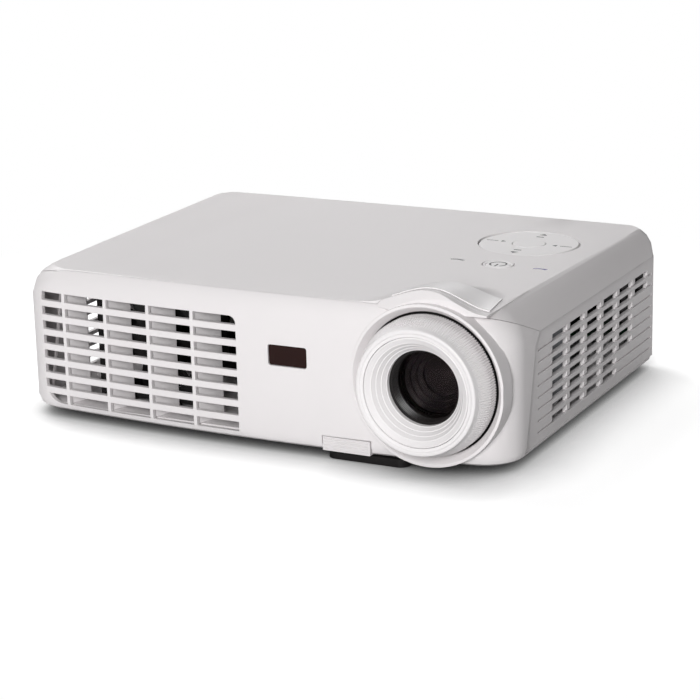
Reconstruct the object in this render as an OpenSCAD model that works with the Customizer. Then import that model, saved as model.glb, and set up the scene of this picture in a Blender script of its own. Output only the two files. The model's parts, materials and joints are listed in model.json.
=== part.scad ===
// Compact desk projector: a moulded housing with an exhaust grille beside the
// lens, louvred sides, a round keypad on top, and the optics, fans and boards
// that such a projector holds inside.
// The lens looks along -Y, +X is the lens side, Z = 0 is the table.

/* [Housing] */
// Width of the housing
body_w = 280; // [270:1:300]
// Depth of the housing, without the lens ring
body_d = 218; // [212:1:230]
// Height of the housing, without its feet
body_h = 78; // [76:0.5:84]
// Height that the feet hold the housing above the table
foot_gap = 4.5; // [4.5:0.1:6]
// Wall thickness of the mouldings
wall = 2.4; // [2:0.1:2.8]
// How far the front bulges forward between its two ends
front_bulge = 7; // [4:0.5:9]
// How far the top rises between its two sides
top_crown = 2; // [1:0.25:3]
// Gap left at the seams between mouldings
seam = 0.2; // [0.1:0.05:0.3]

/* [Front grille] */
// Pitch of the grille columns
grille_pitch_x = 26.7; // [25:0.1:27]
// Pitch of the grille rows
grille_pitch_z = 7.9; // [7.6:0.1:8]
// Thickness of the level slats
slat_t = 3.4; // [3:0.1:3.8]
// Thickness of the upright webs
web_t = 1.9; // [1.6:0.1:2.4]
// Lean of the vanes behind the webs, in degrees
vane_lean = 20; // [15:1:24]

/* [Side grilles] */
// Pitch of the louvre rows
louvre_pitch = 6.05; // [5.8:0.05:6.1]
// Height of one slot
louvre_slot_h = 3.9; // [3.4:0.1:4.2]
// Pitch of the slot columns
louvre_col_pitch = 24.1; // [23:0.1:24.3]
// Land between two slots of a row
louvre_land = 4; // [3:0.1:5]
// How deep the side panels sit below the mouldings round them
panel_recess = 1.2; // [0.8:0.1:1.6]

/* [Lens] */
// Distance of the lens axis from the right side of the housing
lens_side = 41.5; // [41:0.5:46]
// Height of the lens axis above the table
lens_z = 44; // [43:0.5:46]
// Inside radius of the collar round the lens
collar_r = 36.2; // [35.8:0.1:36.6]
// Radius of the focus ring at its back
ring_back_r = 34.9; // [34:0.1:35.2]
// Radius of the focus ring at its front face
ring_front_r = 31.4; // [30:0.1:32]
// How far the focus ring stands proud of the front
ring_proud = 11.5; // [10:0.5:13]
// Number of grip flutes round the focus ring
ring_flutes = 144; // [72:6:150]
// Radius of the lens barrel that the focus ring turns on
barrel_r = 27.6; // [26.5:0.1:28]
// Radius of the dark lens mouth
mouth_r = 19; // [18:0.25:20]

/* [Controls] */
// Radius of the round direction pad
pad_r = 27; // [25:0.25:28]
// Radius of the menu button in its middle
menu_r = 8.8; // [8:0.1:9.5]
// Radius of the power button
power_r = 8; // [7:0.1:8.5]
// Gap round a button
key_gap = 0.5; // [0.4:0.05:0.7]
// How far a button goes down
key_travel = 0.6; // [0.4:0.1:0.8]
// Width of the foot release button
release_w = 26; // [22:0.5:28]
// Height of the foot release button
release_h = 7.4; // [6:0.1:8]

/* [Feet] */
// Width of the elevator foot
elevator_w = 44; // [38:1:46]
// How far the elevator foot comes down
elevator_travel = 24; // [18:1:26]
// Radius of the two rear feet
rear_foot_r = 9.5; // [8:0.25:11]
// Radius of the stem of a rear foot
stem_r = 3; // [2.5:0.1:3.5]
// Distance of the rear feet from the sides
rear_foot_side = 19; // [18:1:28]
// Radius of the threaded holes for a ceiling bracket
bracket_hole_r = 2; // [1.5:0.1:2.2]

/* [Hidden] */

white = [0.93, 0.93, 0.92];
black = [0.08, 0.08, 0.09];
grey = [0.55, 0.56, 0.58];
board_green = [0.1, 0.35, 0.2];

// Sides used for the curved faces
fine = 72;
coarse = 40;

// The frame: X = 0 mid width, Y = 0 mid depth of the whole object, Z = 0 table
x_half = body_w / 2;
lens_x = x_half - lens_side;
rear_foot_x = x_half - rear_foot_side;
// The sockets stand this far out of the rear panel
rear_proud = 0.6;
front_y = ring_proud - (body_d + ring_proud + rear_proud) / 2;
rear_y = front_y + body_d;
base_z = foot_gap;
floor_z = base_z + wall;
top_z = base_z + body_h;

// Rounding of the housing
front_corner_r = 20;
rear_corner_r = 9;
shoulder_h = 17;
crease_in = 4.5;
crease_drop = 0.8;
band_h = 10;

// Seams: the front moulding ends on a slanted line at the sides
side_top_z = base_z + 60.2;
split_low = 27;
split_high = 43;
rear_panel_t = 3;

// Grille beside the lens
grille_rows = 8;
grille_right = -5.2;
grille_left = 14.5 - x_half;
grille_cols = ceil((grille_right - grille_left) / grille_pitch_x);
grille_top = base_z + 64.3;
grille_low = base_z + 3.9;
vane_end = 19;
vane_t = 1.5;
vane_low = floor_z + 1.75;

// Slots in the side grilles: how many rows each column has, front to rear
louvre_counts = [8, 8, 8, 8, 6, 2];
louvre_first = 64;
louvre_top = base_z + 53.6;
groove_h = 1;
groove_d = 0.9;

// The raised wave over the lens
hump_h = 9.3;
hump_half = 36;
hump_right = 30;
hump_len = 52;
hump_base = top_z - 2.6;
trim_t = 0.5;

// Keypad, measured from the front like everything on the top
pad_x = lens_x - 7;
pad_y = front_y + 149;
power_x = lens_x - 4;
power_y = front_y + 100;
light_r = 8.5;
light_w = 2.2;
light_off = 23;

// Height of the top surface at a place across the width
function top_at(x) = top_z - top_crown * pow(x / x_half, 2);

// Front of the housing at a place across the width
function front_at(x) = front_y + front_bulge * pow(x / x_half, 2);

// Points of an arc about c
function arc(c, r, a0, a1, n) =
    [for (i = [0:n]) c + r * [cos(a0 + (a1 - a0) * i / n), sin(a0 + (a1 - a0) * i / n)]];

// A smooth bump, 1 in the middle and 0 from t = 1 outwards
function bump(t) = abs(t) >= 1 ? 0 : (1 + cos(180 * t)) / 2;

// An XZ outline drawn out along Y
module along_y(points, y0, y1) {
    translate([0, y1, 0]) rotate([90, 0, 0]) linear_extrude(y1 - y0) polygon(points);
}

// A YZ outline drawn out along X
module along_x(points, x0, x1) {
    translate([x0, 0, 0]) rotate([90, 0, 90]) linear_extrude(x1 - x0) polygon(points);
}

// A round bar along Y
module bar_y(r, y0, y1, x, z, sides = fine) {
    translate([x, y0, z]) rotate([-90, 0, 0]) cylinder(h = y1 - y0, r = r, $fn = sides);
}

// A box given by its low and high corners
module block(low, high) {
    translate(low) cube(high - low);
}

// A plate with rounded upright corners
module round_plate(size, r, t) {
    linear_extrude(t) rounded_square(size, r);
}

module rounded_square(size, r) {
    square([size.x, size.y - 2 * r], center = true);
    square([size.x - 2 * r, size.y], center = true);
    for (x = [-1, 1]) {
        for (y = [-1, 1]) {
            translate([x * (size.x / 2 - r), y * (size.y / 2 - r)]) circle(r, $fn = 32);
        }
    }
}

// ---------------------------------------------------------------- housing form

// Plan of the housing: inset all round, and further in at the front, the rear,
// and the front and rear ends of the sides
function plan(inset, front_in, rear_in, side_front, side_rear) =
    let (
        hf = x_half - inset - side_front,
        hr = x_half - inset - side_rear,
        yf = front_y + inset + front_in,
        yr = rear_y - inset - rear_in,
        rf = front_corner_r - inset,
        rr = rear_corner_r - inset,
        lean = atan(2 * front_bulge * (hf - rf) / (hf * hf)),
        xe = hf - rf + rf * sin(lean),
        yc = yf + front_bulge * pow(xe / hf, 2) + rf * cos(lean)
    )
    concat(
        [for (i = [-11:11]) [xe * i / 12, yf + front_bulge * pow(xe * i / 12 / hf, 2)]],
        arc([hf - rf, yc], rf, -90 + lean, 0, 7),
        arc([hr - rr, yr - rr], rr, 0, 90, 5),
        arc([rr - hr, yr - rr], rr, 90, 180, 5),
        arc([rf - hf, yc], rf, 180, 270 - lean, 7)
    );

// Levels of the housing: height, then how far the front, the rear, and the
// front and rear ends of the sides are drawn in there. The inside has a square
// lower edge, and its upper levels lie a wall thickness lower.
function levels(inset) = concat(
    inset > 0 ? [[base_z + inset, 0, 0, 0, 0]] : [
        [base_z, 4, 3, 3.5, 3.5],
        [base_z + 0.5, 2.4, 1.8, 2.1, 2.1],
        [base_z + 1.6, 1.1, 0.8, 0.9, 0.9],
        [base_z + 5, 0, 0, 0, 0]
    ],
    [for (l = [
        [top_z - shoulder_h, 0, 0, 0, 0],
        [top_z - band_h, 0.3, 0.6, 2.6, 1.2],
        [top_z - 6, 1.1, 2, 5.8, 3],
        [top_z - 3, 2.6, 4, 10.2, 5.6],
        [top_z - 1.6, 3.6, 5.6, 13, 7.4],
        [top_z - crease_drop, crease_in, 8, 15.6, 9.5],
        [top_z + 0.2, 40, 16, 28, 18]
    ]) [l[0] - inset, l[1], l[2], l[3], l[4]]]
);

// Closed skin through outlines that have as many points each, lowest first
module loft(rings) {
    n = len(rings[0]);
    last = len(rings) - 1;
    polyhedron(
        points = [for (ring = rings) each ring],
        faces = concat(
            [[for (i = [0:n - 1]) i]],
            [[for (i = [n - 1:-1:0]) last * n + i]],
            [for (j = [0:last - 1]) for (i = [0:n - 1])
                [j * n + i, (j + 1) * n + i, (j + 1) * n + (i + 1) % n]],
            [for (j = [0:last - 1]) for (i = [0:n - 1])
                [j * n + i, (j + 1) * n + (i + 1) % n, j * n + (i + 1) % n]]
        ),
        convexity = 4
    );
}

// Solid of the housing, inset by a wall thickness for its inside
module form(inset) {
    intersection() {
        loft([for (l = levels(inset)) [for (p = plan(inset, l[1], l[2], l[3], l[4])) [p.x, p.y, l[0]]]]);
        along_y(concat(
            [[-x_half - 1, 0], [x_half + 1, 0]],
            [for (i = [13:-2:-13]) [(x_half + 1) * i / 13, top_at(x_half * i / 13) - inset]]
        ), front_y - 1, rear_y + 1);
    }
}

module shell() {
    difference() {
        form(0);
        form(wall);
    }
}

// What belongs to the front moulding: everything in front of the crease, and
// at the sides everything below a line that slants down from the crease
module bezel_zone(gap) {
    along_x([
        [front_y - 20, -1],
        [front_y + split_low - gap, -1],
        [front_y + split_low - gap, base_z + 1],
        [front_y + split_high - 3 - gap, side_top_z - 6],
        [front_y + split_high + 2 - gap, side_top_z],
        [front_y + crease_in + 5 - gap, top_z - 3 - gap],
        [front_y - 20, top_z - 3 - gap]
    ], -x_half - 1, x_half + 1);
    linear_extrude(top_z + hump_h + 5)
        polygon(concat(
            [[-x_half - 1, front_y - 20], [x_half + 1, front_y - 20]],
            [for (i = [17:-2:-17])
                [(x_half + 1) * i / 17, front_at(x_half * i / 17) + crease_in - gap]]
        ));
}

// Width and height of the wave at a distance behind the front
function hump_width(d) = hump_half - 16 * pow(d / hump_len, 1.5);
function hump_rise(d) = hump_h * (d < 26 ? 1 - 0.25 * d / 26 : 0.75 * bump((d - 26) / (hump_len - 26)));

// Height of the wave's surface above the table
function wave_z(x, d) = top_at(x) - 0.05 + hump_rise(d)
    * bump((x - lens_x) / (x > lens_x ? min(hump_right, hump_width(d)) : hump_width(d)));

// A sheet between two depths, drawn down to a flat underside or to a lift
module wave_sheet(d0, d1, rows, x0, x1, cols, low, raise, skew0 = 0, skew1 = 0) {
    n = cols + 1;
    px = [for (j = [0:rows]) [for (i = [0:cols])
        x0 + skew0 * j / rows + (x1 + skew1 * j / rows - x0 - skew0 * j / rows) * i / cols]];
    dd = [for (j = [0:rows]) d0 + (d1 - d0) * j / rows];
    top = [for (j = [0:rows]) for (i = [0:cols])
        [px[j][i], front_at(px[j][i]) + dd[j], wave_z(px[j][i], dd[j]) + raise]];
    under = [for (j = [0:rows]) for (i = [0:cols])
        [px[j][i], front_at(px[j][i]) + dd[j], low > 0 ? low : wave_z(px[j][i], dd[j]) + raise - trim_t]];
    m = len(top);
    polyhedron(
        points = concat(top, under),
        faces = concat(
            [for (j = [0:rows - 1]) for (i = [0:cols - 1])
                [j * n + i, (j + 1) * n + i, (j + 1) * n + i + 1]],
            [for (j = [0:rows - 1]) for (i = [0:cols - 1])
                [j * n + i, (j + 1) * n + i + 1, j * n + i + 1]],
            [for (j = [0:rows - 1]) for (i = [0:cols - 1])
                [m + j * n + i, m + (j + 1) * n + i + 1, m + (j + 1) * n + i]],
            [for (j = [0:rows - 1]) for (i = [0:cols - 1])
                [m + j * n + i, m + j * n + i + 1, m + (j + 1) * n + i + 1]],
            [for (i = [0:cols - 1]) [i, i + 1, m + i + 1, m + i]],
            [for (i = [0:cols - 1])
                [rows * n + i + 1, rows * n + i, m + rows * n + i, m + rows * n + i + 1]],
            [for (j = [0:rows - 1]) [(j + 1) * n, j * n, m + j * n, m + (j + 1) * n]],
            [for (j = [0:rows - 1])
                [j * n + cols, (j + 1) * n + cols, m + (j + 1) * n + cols, m + j * n + cols]]
        ),
        convexity = 6
    );
}

// ---------------------------------------------------------------- mouldings

// Space taken by the collar and the shroud behind it
module collar_room(gap) {
    bar_y(collar_r + collar_wall + shroud_rim + gap, front_y, shroud_y + shroud_t + gap, lens_x, lens_z);
}

module light_slot(side, grow) {
    // A short arc that opens towards the front
    translate([power_x + side * light_off, power_y - light_r + 2, top_z - wall - 4])
        linear_extrude(wall + 8)
            intersection() {
                difference() {
                    circle(light_r + grow, $fn = fine);
                    circle(light_r - light_w - grow, $fn = fine);
                }
                polygon([[0, 0], [-7 - 2 * grow, 12], [7 + 2 * grow, 12]]);
            }
}

collar_wall = 4.6;
collar_len = 12;
lip_r = collar_r + 3.9;
lip_len = 6;
shroud_rim = 1.6;
shroud_t = 2;
shroud_y = front_y + collar_len + 0.1;
board_y = pad_y - 26;
board_top = top_z - wall - 6.5;

module top_cover() {
    color(white)
    difference() {
        union() {
            difference() {
                union() {
                    shell();
                    wave_sheet(crease_in - 1, hump_len, 10,
                        lens_x - hump_half, lens_x + hump_right, 22, hump_base, 0);
                }
                bezel_zone(-seam / 2);
                block([-x_half - 1, front_y - 20, -1], [x_half + 1, rear_y + 1, side_top_z + seam / 2]);
            }
            // Posts that the key board hangs from
            for (x = [-1, 1]) {
                for (y = [-1, 1]) {
                    translate([pad_x + x * 33, board_y + y * 46, board_top])
                        cylinder(h = top_z - wall + 0.2 - board_top, r = 3, $fn = coarse);
                }
            }
        }
        collar_room(0.2);
        translate([pad_x, pad_y, top_z - wall - 3])
            cylinder(h = wall + 6, r = pad_r + key_gap, $fn = fine);
        translate([power_x, power_y, top_z - wall - 3])
            cylinder(h = wall + 6, r = power_r + key_gap, $fn = fine);
        light_slot(-1, 0);
        light_slot(1, 0);
    }
}

// Outline of the whole front grille opening, seen from the front
module grille_outline() {
    translate([grille_left, grille_low])
        difference() {
            square([grille_right - grille_left, grille_top - grille_low]);
            difference() {
                square(11);
                translate([11, 11]) circle(11, $fn = fine);
            }
            translate([grille_right - grille_left - 4, grille_top - grille_low - 4])
                difference() {
                    square(4.01);
                    circle(4, $fn = coarse);
                }
        }
}

module grille_cells() {
    intersection() {
        grille_outline();
        for (c = [0:grille_cols - 1]) {
            right = grille_right - (grille_cols - 1 - c) * grille_pitch_x;
            left = max(grille_left, right - grille_pitch_x + web_t);
            for (r = [0:grille_rows - 1]) {
                top = grille_top - r * grille_pitch_z;
                low = r == grille_rows - 1 ? grille_low : top - grille_pitch_z + slat_t;
                translate([left, low]) square([right - left, top - low]);
            }
        }
    }
}

ir_x = lens_x - 74.9;
ir_z = base_z + 46.5;
ir_size = [21.6, 10.8];
release_x = lens_x - 43.5;
release_play = 0.4;
release_t = 3.6;
release_travel = 3;
release_y = front_at(release_x) - 0.2;
release_room = release_y + release_t + release_travel + release_play;

module front_bezel() {
    color(white)
    difference() {
        union() {
            intersection() {
                union() {
                    shell();
                    // Front of the wave: it slopes from its crest down to the collar
                    intersection() {
                        wave_sheet(0.4, crease_in + 1, 2,
                            lens_x - hump_half, lens_x + hump_right, 22, hump_base, 0);
                        translate([lens_x, front_at(lens_x) - 1, lens_z]) rotate([-90, 0, 0])
                            cylinder(h = crease_in + 6, r1 = lip_r + 0.5, r2 = lip_r + 17.5, $fn = fine);
                    }
                }
                bezel_zone(seam / 2);
            }
            // Collar round the lens
            difference() {
                bar_y(collar_r + collar_wall, front_y + 1.2, front_y + collar_len, lens_x, lens_z);
                block([x_half - 1, front_y - 9, 0], [x_half + 9, front_y + 19, top_z]);
            }
        }
        bar_y(collar_r, front_y - 1, front_y + 20, lens_x, lens_z);
        translate([lens_x, front_y - 0.01, lens_z]) rotate([-90, 0, 0])
            cylinder(h = lip_len, r1 = lip_r, r2 = collar_r, $fn = fine);
        translate([0, front_y + 12, 0]) rotate([90, 0, 0]) linear_extrude(14) grille_cells();
        translate([ir_x, front_y + 9, ir_z]) rotate([90, 0, 0])
            linear_extrude(12) rounded_square(ir_size, 1.4);
        translate([elevator_x, elevator_y, base_z - 1])
            cylinder(h = 9, r = guide_r + 0.2, $fn = fine);
        block([release_x - release_w / 2 - release_play, front_y - 1, base_z - 1],
            [release_x + release_w / 2 + release_play, front_y + 12, base_z + release_h + release_play]);
    }
}

// Outline of a side grille panel in YZ
function panel_outline(gap) = concat(
    [[front_y + split_low + 1 + gap, floor_z + gap], [rear_y - rear_panel_t - gap, floor_z + gap]],
    [[rear_y - rear_panel_t - gap, side_top_z - gap]],
    arc([front_y + split_high + 6 + gap, side_top_z - 8 - gap], 8, 90, 165, 6)
);

module grille_panel() {
    outer_x = x_half - panel_recess;
    difference() {
        along_x(panel_outline(seam), outer_x - wall, outer_x);
        for (c = [0:len(louvre_counts) - 1]) {
            for (r = [0:louvre_counts[c] - 1]) {
                low = louvre_top - r * louvre_pitch - louvre_slot_h;
                y0 = front_y + louvre_first + c * louvre_col_pitch;
                block([outer_x - wall - 1, y0, low],
                    [outer_x + 1, y0 + louvre_col_pitch - louvre_land, low + louvre_slot_h]);
            }
        }
        for (r = [0:7]) {
            low = louvre_top - r * louvre_pitch - louvre_slot_h;
            block([outer_x - groove_d, front_y + split_high + 2, low],
                [outer_x + 1, rear_y - rear_panel_t - 3, low + groove_h]);
        }
    }
    // Flanges that hook behind the mouldings above and below
    block([outer_x - wall, front_y + split_high + 10, floor_z + seam],
        [outer_x - wall + 1.2, rear_y - rear_panel_t - 6, floor_z + seam + 1]);
}

module right_grille() {
    color(white) grille_panel();
}

module left_grille() {
    color(white) mirror([1, 0, 0]) grille_panel();
}

// Leaning vanes behind the upright webs, hung from a bar above the openings
module exhaust_louvre() {
    color(white) {
        for (c = [0:grille_cols - 2]) {
            x = grille_right - (grille_cols - 1 - c) * grille_pitch_x + web_t / 2;
            start = front_at(x) - front_y + wall + 0.8;
            leaning_vane(x, start, vane_end);
        }
        block([grille_left + 6, front_y + vane_end - 3, grille_top + 0.2],
            [grille_right + 2, front_y + vane_end, grille_top + 1.6]);
    }
}

module leaning_vane(x, start, end) {
    shift = (end - start) * tan(vane_lean);
    translate([0, 0, vane_low])
        linear_extrude(grille_top + 1.6 - vane_low)
            polygon([
                [x - vane_t / 2, front_y + start],
                [x + vane_t / 2, front_y + start],
                [x + vane_t / 2 + shift, front_y + end],
                [x - vane_t / 2 + shift, front_y + end]
            ]);
}

// Bright strip that lies on the wave over the lens
module wave_trim() {
    color([0.97, 0.97, 0.97])
        wave_sheet(crease_in + 3, crease_in + 26, 5,
            lens_x - 21, x_half - 13, 18, 0, trim_t + 0.15, -5, -3);
}

module ir_window() {
    color([0.12, 0.03, 0.03])
        translate([ir_x, front_at(ir_x + ir_size.x / 2 + 2) + wall + 0.95, ir_z]) rotate([90, 0, 0]) {
            linear_extrude(wall + 0.6) rounded_square(ir_size - [0.4, 0.4], 1.2);
            linear_extrude(0.8) rounded_square(ir_size + [3, 3], 1.2);
        }
}

// ---------------------------------------------------------------- floor

bracket_span = [110, 90];
bracket_mid = [45, 15];
bracket_spots = [for (x = [-1, 1]) for (y = [-1, 1])
    bracket_mid + [x * bracket_span.x / 2, y * bracket_span.y / 2]];
tongue_t = 1.6;
tongue_gap = 0.3;
tongue_root = front_y + split_low + 3;
panel_in = x_half - panel_recess - wall - 0.3;
door_x = -62;
door_y = 20;
door_size = [92, 84];
rear_foot_y = front_y + 166;
elevator_x = release_x;
elevator_y = front_y + 27;
elevator_d = 32;
elevator_mid = [lens_x - 34, front_y + 19];
column_r = 7;
guide_r = 10;
notch_pitch = 2.4;

// Blind boss on the floor
module boss(x, y, r, h) {
    translate([x, y, floor_z - 0.01]) cylinder(h = h, r = r, $fn = coarse);
}

screw_side = x_half - 12;
screw_spots = [[-screw_side, 60], [screw_side, 90], [-screw_side, -40], [release_x + 5, -60]];

module bottom_case() {
    color(white)
    difference() {
        union() {
            difference() {
                intersection() {
                    form(0);
                    block([-x_half - 1, front_y - 1, base_z - 1], [x_half + 1, rear_y + 1, floor_z]);
                }
                bezel_zone(-seam / 2);
                block([-x_half - 1, rear_y - rear_panel_t - seam, base_z + 1.2],
                    [x_half + 1, rear_y + 1, floor_z + 1]);
            }
            // Tongue that steps up and runs over the floor of the front moulding
            difference() {
                intersection() {
                    form(wall + tongue_gap);
                    block([-panel_in, front_y + 5, floor_z], [panel_in, tongue_root, floor_z + tongue_t]);
                }
                collar_room(tongue_gap);
                block([release_x - release_w / 2 - release_play, front_y, floor_z - 1],
                    [release_x + release_w / 2 + release_play, release_room, floor_z + tongue_t + 1]);
            }
            block([-panel_in, front_y + split_low + 2 * tongue_gap, floor_z - 0.5],
                [panel_in, tongue_root, floor_z + tongue_t]);
            for (s = bracket_spots) {
                boss(s.x, s.y, 5, 8);
            }
            for (s = screw_spots) {
                boss(s.x, s.y, 3.4, 8);
            }
            for (x = [-1, 1]) {
                boss(x * rear_foot_x, rear_foot_y, 6.5, 12);
            }
            for (s = main_posts) {
                boss(s.x, s.y, 3, main_z - floor_z);
            }
            for (s = power_posts) {
                boss(s.x, s.y, 3, power_z - floor_z);
            }
            for (s = engine_posts) {
                boss(s.x, s.y, 4, engine_z - floor_z);
            }
        }
        for (s = bracket_spots) {
            translate([s.x, s.y, base_z - 1]) cylinder(h = 9, r = bracket_hole_r, $fn = coarse);
        }
        for (x = [-1, 1]) {
            translate([x * rear_foot_x, rear_foot_y, base_z - 1])
                cylinder(h = 20, r = stem_r + 0.08, $fn = coarse);
        }
        for (s = screw_spots) {
            translate([s.x, s.y, base_z - 1]) cylinder(h = 3, r = 3.2, $fn = coarse);
            translate([s.x, s.y, base_z - 1]) cylinder(h = 8, r = 1.25, $fn = coarse);
        }
        // Lamp door, stepped so that the door rests on a ledge
        translate([door_x, door_y, base_z - 1]) round_plate(door_size, 4, 2.4);
        translate([door_x, door_y, base_z - 1]) round_plate(door_size - [7, 7], 3, 9);
        // Elevator foot
        translate([elevator_x, elevator_y, base_z - 1])
            cylinder(h = 9, r = guide_r + 0.2, $fn = fine);
        // Air slots under the fan and the blower
        for (i = [0:7]) {
            x = 14 - x_half + i * 7;
            block([x, front_y + 50, base_z - 1], [x + 3.5, front_y + 72, floor_z + 1]);
        }
    }
}

door_screw_spots = [[-38, -36], [38, 36]];

module lamp_door() {
    color(white)
    difference() {
        translate([door_x, door_y, base_z]) round_plate(door_size - [0.4, 0.4], 3.8, 1.4 - 0.02);
        for (s = door_screw_spots) {
            translate([door_x + s.x, door_y + s.y, base_z - 1])
                cylinder(h = 5, r = 1.6, $fn = coarse);
        }
        // Finger ridges
        for (i = [-3:3]) {
            block([door_x + i * 4 - 0.8, door_y - 40, base_z - 1],
                [door_x + i * 4 + 0.8, door_y - 30, base_z + 0.5]);
        }
    }
}

module door_screws() {
    color(grey)
        for (s = door_screw_spots) {
            translate([door_x + s.x, door_y + s.y, base_z + 0.3]) {
                difference() {
                    union() {
                        cylinder(h = 1.08, r = 1.5, $fn = coarse);
                        cylinder(h = 0.3, r = 1.55, $fn = coarse);
                    }
                    translate([-0.3, -1, -0.1]) cube([0.6, 2, 0.5]);
                }
            }
        }
}

module case_screws() {
    color(grey)
        for (s = screw_spots) {
            translate([s.x, s.y, base_z + 0.4])
                difference() {
                    union() {
                        cylinder(h = 1.6, r = 2.8, $fn = coarse);
                        cylinder(h = 6.4, r = 1.2, $fn = coarse);
                    }
                    for (a = [0, 90]) {
                        rotate([0, 0, a]) translate([-1.6, -0.35, -0.1]) cube([3.2, 0.7, 1]);
                    }
                }
        }
}

module elevator_guide() {
    color(white)
    difference() {
        union() {
            translate([elevator_x, elevator_y, base_z + 0.3])
                cylinder(h = elevator_travel + 16, r = guide_r, $fn = fine);
            translate([elevator_x, elevator_y, floor_z + 0.02 + 1.6])
                cylinder(h = 2, r = guide_r + 3.5, $fn = fine);
        }
        translate([elevator_x, elevator_y, 0])
            cylinder(h = 80, r = column_r + 0.1, $fn = fine);
    }
}

// Flat foot under the front edge, on a round ratchet column
module elevator_foot() {
    color(black)
    difference() {
        union() {
            translate(elevator_mid) round_plate([elevator_w, elevator_d], 5, base_z - 0.4);
            translate([elevator_x, elevator_y, base_z - 0.5])
                cylinder(h = elevator_travel + 18, r = column_r, $fn = fine);
        }
        for (i = [0:round(elevator_travel / notch_pitch) - 1]) {
            block([elevator_x - column_r - 1, elevator_y - column_r - 1, base_z + 16 + i * notch_pitch],
                [elevator_x + column_r + 1, elevator_y - column_r + 0.9, base_z + 17 + i * notch_pitch]);
        }
    }
}

// Ribbed push plate that frees the elevator foot
module release_button() {
    y0 = release_y;
    color(white)
    difference() {
        union() {
            block([release_x - release_w / 2, y0, base_z + 0.2],
                [release_x + release_w / 2, y0 + release_t, base_z + release_h]);
            // Tongue that reaches back to the ratchet column
            block([elevator_x - 5, y0 + release_t - 0.1, floor_z + 3.82],
                [elevator_x + 3, elevator_y - guide_r - 4, base_z + release_h]);
        }
        for (i = [0:3]) {
            block([release_x - release_w / 2 + 1.2, y0 - 1, base_z + 1 + i * 1.7],
                [release_x + release_w / 2 - 1.2, y0 + 0.5, base_z + 1.6 + i * 1.7]);
        }
    }
}

// Rear feet: the stem climbs in its boss while the disc on it is turned
module foot_stem(side) {
    color(grey)
        translate([side * rear_foot_x, rear_foot_y, 1.2])
            union() {
                cylinder(h = base_z + 11, r = stem_r, $fn = coarse);
                cylinder(h = 0.8, r = stem_r + 1.2, $fn = coarse);
            }
}

module left_foot_stem() {
    foot_stem(-1);
}

module right_foot_stem() {
    foot_stem(1);
}

module foot_disc(side) {
    color(black)
        translate([side * rear_foot_x, rear_foot_y, 0])
            difference() {
                union() {
                    cylinder(h = 2.6, r = rear_foot_r, $fn = fine);
                    cylinder(h = base_z - 0.5, r = rear_foot_r - 3, $fn = fine);
                }
                translate([0, 0, 1.12]) cylinder(h = 1, r = stem_r + 1.28, $fn = coarse);
                translate([0, 0, 1.5]) cylinder(h = 9, r = stem_r + 0.08, $fn = coarse);
                for (i = [0:17]) {
                    rotate([0, 0, i * 20]) translate([rear_foot_r + 0.5, 0, -1])
                        cylinder(h = 5, r = 1, $fn = 16);
                }
            }
}

module left_foot_disc() {
    foot_disc(-1);
}

module right_foot_disc() {
    foot_disc(1);
}

// ---------------------------------------------------------------- lens

ring_len = ring_proud + 6;
ring_play = 0.06;
flute_depth = 0.7;

module flute_outline() {
    polygon([for (i = [0:ring_flutes * 4 - 1])
        let (a = i * 90 / ring_flutes, deep = i % 4 < 2 ? 0 : flute_depth)
        (ring_back_r + 0.3 - deep) * [cos(a), sin(a)]]);
}

// Conical grip ring: plain face, fluted towards the collar
module focus_ring() {
    color(white)
    translate([lens_x, front_y - ring_proud, lens_z]) rotate([-90, 0, 0])
        intersection() {
            rotate_extrude($fn = fine * 2) polygon(concat(
                [[barrel_r + ring_play, 0.8], [barrel_r + 1.6, 0.8], [barrel_r + 2, 0]],
                [[ring_front_r - 0.8, 0], [ring_front_r, 0.8], [ring_front_r + 1, 5]],
                [[ring_back_r, 11], [ring_back_r, ring_len]],
                [[barrel_r + ring_play, ring_len]]
            ));
            union() {
                translate([0, 0, 5.5]) linear_extrude(ring_len) flute_outline();
                cylinder(h = 6, r = ring_back_r, $fn = fine);
            }
        }
}

hood_steps = 4;
hood_depth = 9.6;
hood_step = 0.3;

// Radius of the hood's bowl before each of its steps
function hood_r(i) = mouth_r + (barrel_r - 1.6 - mouth_r) * (hood_steps - i) / hood_steps;

// Shallow bowl with faint steps between the face of the ring and the dark mouth
module lens_hood() {
    steps = [for (i = [0:hood_steps - 1]) each [
        [hood_r(i), 0.6 + (hood_depth - 0.6) * i / hood_steps],
        [hood_r(i + 1) + hood_step, 0.6 + (hood_depth - 0.6) * (i + 1) / hood_steps]
    ]];
    color(white)
    translate([lens_x, front_y - ring_proud, lens_z]) rotate([-90, 0, 0])
    rotate_extrude($fn = fine) polygon(concat(
        [[barrel_r, 12], [barrel_r, 1], [barrel_r - 0.6, 0.5]],
        steps,
        [[mouth_r, hood_depth], [mouth_r, 12]]
    ));
}

barrel_back = 66;

// Black tube that carries the glass and that the ring turns on
module lens_barrel() {
    color(black)
    translate([lens_x, front_y - ring_proud, lens_z]) rotate([-90, 0, 0])
    rotate_extrude($fn = fine) polygon([
        [mouth_r - 0.6, 12.02], [barrel_r, 12.02], [barrel_r, ring_len + 0.3],
        [barrel_r + 4, ring_len + 0.3], [barrel_r + 4, ring_len + 3],
        [barrel_r - 1, ring_len + 4], [barrel_r - 1, barrel_back], [14, barrel_back],
        [14, barrel_back - 20], [mouth_r - 1, 30], [mouth_r - 1, 22.5],
        [mouth_r - 2.4, 22.5], [mouth_r - 2.4, 21], [mouth_r - 0.6, 21]
    ]);
}

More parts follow.
